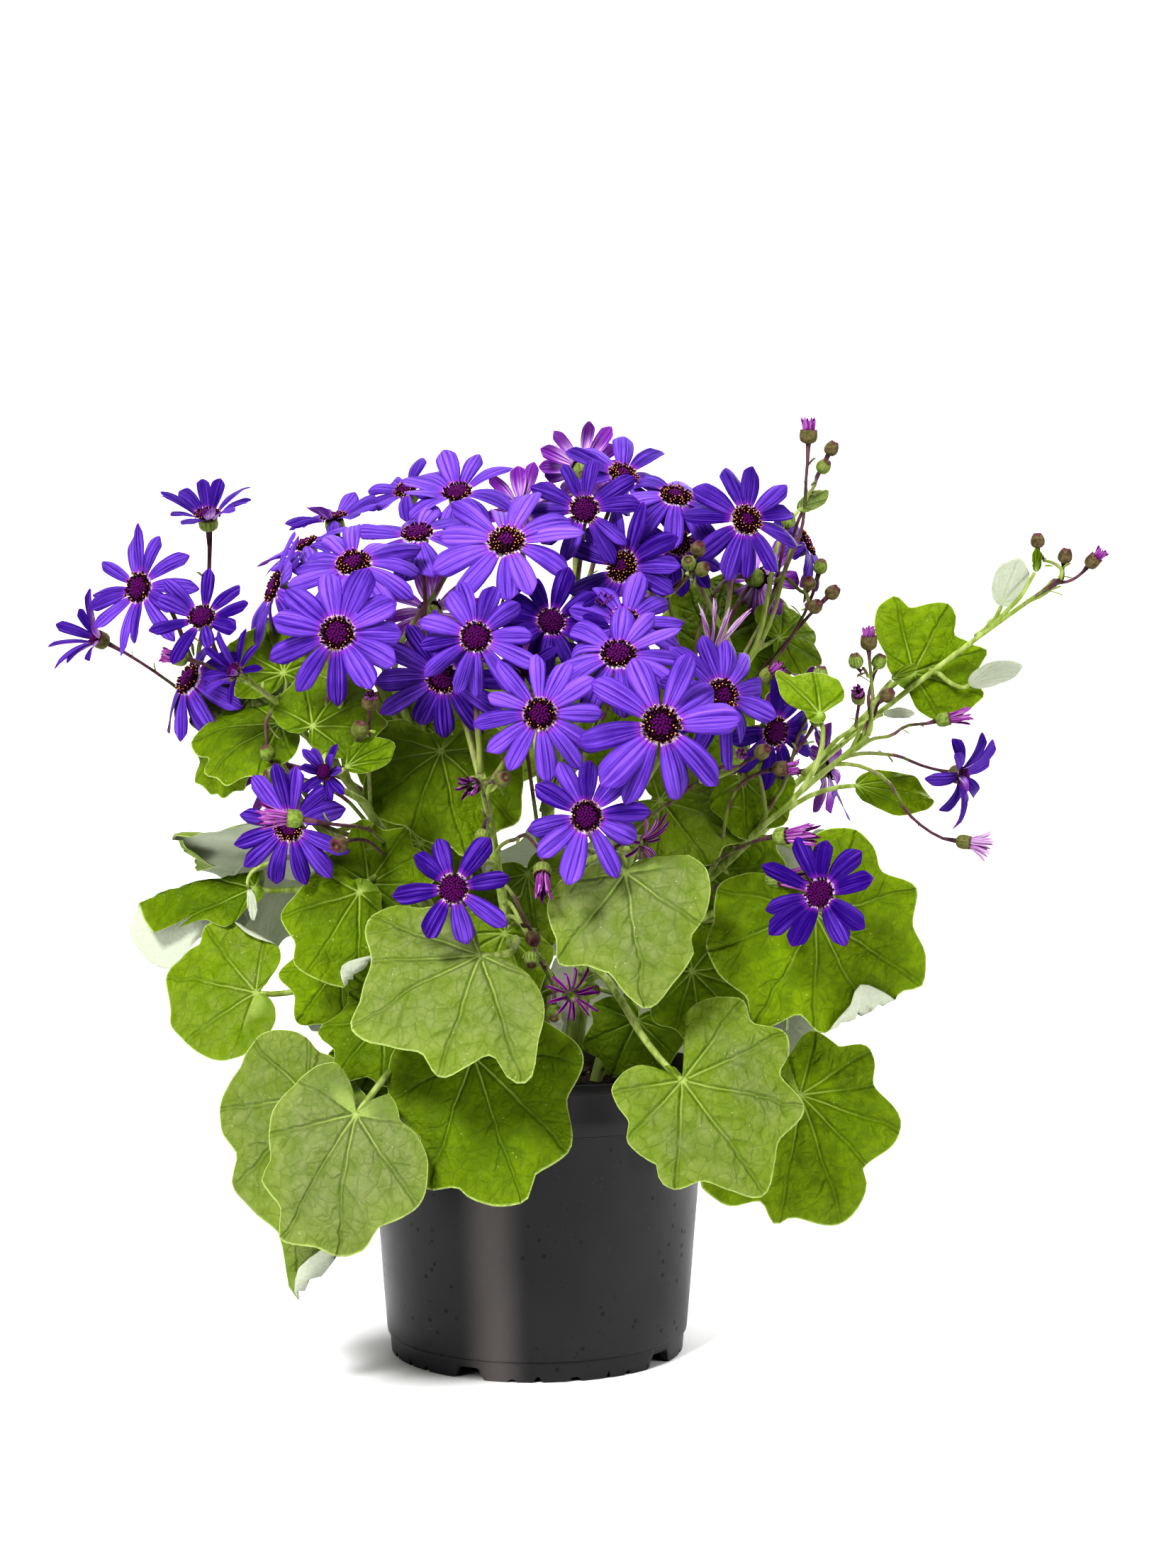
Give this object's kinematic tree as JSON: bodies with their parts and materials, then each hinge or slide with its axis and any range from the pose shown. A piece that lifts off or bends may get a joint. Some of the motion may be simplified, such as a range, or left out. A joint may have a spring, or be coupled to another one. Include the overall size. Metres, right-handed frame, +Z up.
{
  "type": "potted florist cineraria",
  "caption": "Florist cineraria in full flower, with violet-blue daisies over lobed leaves, rooted in peat in a round black nursery pot.",
  "frame": {"origin": "centre of the pot's underside, on the surface it stands on", "axes": "+Z up, -Y towards the side the picture shows"},
  "size_m": [0.5316, 0.3025, 0.4689],
  "materials": {
    "pot_plastic": "black moulded plastic with a soft gloss",
    "peat": "dark brown crumbly peat",
    "petals": "soft violet-blue petals round a purple disc",
    "greenery": "yellow-green leaves and stalks with a fine felt"
  },
  "bodies": {
    "root": {"pot": "pot_plastic", "soil": "peat", "bloom_far_left_1": "petals", "bloom_far_left_2": "petals", "bloom_far_left_3": "petals", "bloom_far_left_4": "petals", "bloom_left_front_1": "petals", "bloom_left_front_2": "petals", "bloom_left_front_3": "petals", "bloom_left_front_4": "petals", "bloom_left_back_1": "petals", "bloom_left_back_2": "petals", "bloom_left_back_3": "petals", "bloom_left_back_4": "petals", "bloom_left_back_5": "petals", "bloom_centre_front_1": "petals", "bloom_centre_front_2": "petals", "bloom_centre_front_3": "petals", "bloom_centre_front_4": "petals", "bloom_centre_1": "petals", "bloom_centre_2": "petals", "bloom_centre_3": "petals", "bloom_centre_4": "petals", "bloom_centre_back_1": "petals", "bloom_centre_back_2": "petals", "bloom_centre_back_3": "petals", "bloom_centre_back_4": "petals", "bloom_centre_back_5": "petals", "bloom_front_right_1": "petals", "bloom_front_right_2": "petals", "bloom_front_right_3": "petals", "bloom_right_front_1": "petals", "bloom_right_front_2": "petals", "bloom_right_up_1": "petals", "bloom_right_up_2": "petals", "bloom_right_up_3": "petals", "bloom_right_up_4": "petals", "bloom_right_up_5": "petals", "bloom_back_left_1": "petals", "bloom_back_left_2": "petals", "bloom_back_left_3": "petals", "bloom_back_left_4": "petals", "bloom_back_right_1": "petals", "bloom_back_right_2": "petals", "bloom_back_right_3": "petals", "bloom_back_right_4": "petals", "bloom_back_right_5": "petals", "leafy_stem_far_left": "greenery", "leafy_stem_left_front": "greenery", "leafy_stem_left_back": "greenery", "leafy_stem_centre_front": "greenery", "leafy_stem_centre": "greenery", "leafy_stem_centre_back": "greenery", "leafy_stem_front_right": "greenery", "leafy_stem_right_front": "greenery", "leafy_stem_right_up": "greenery", "leafy_stem_right_side": "greenery", "leafy_stem_far_right": "greenery", "leafy_stem_back_left": "greenery", "leafy_stem_back_right": "greenery"}
  },
  "joints": []
}
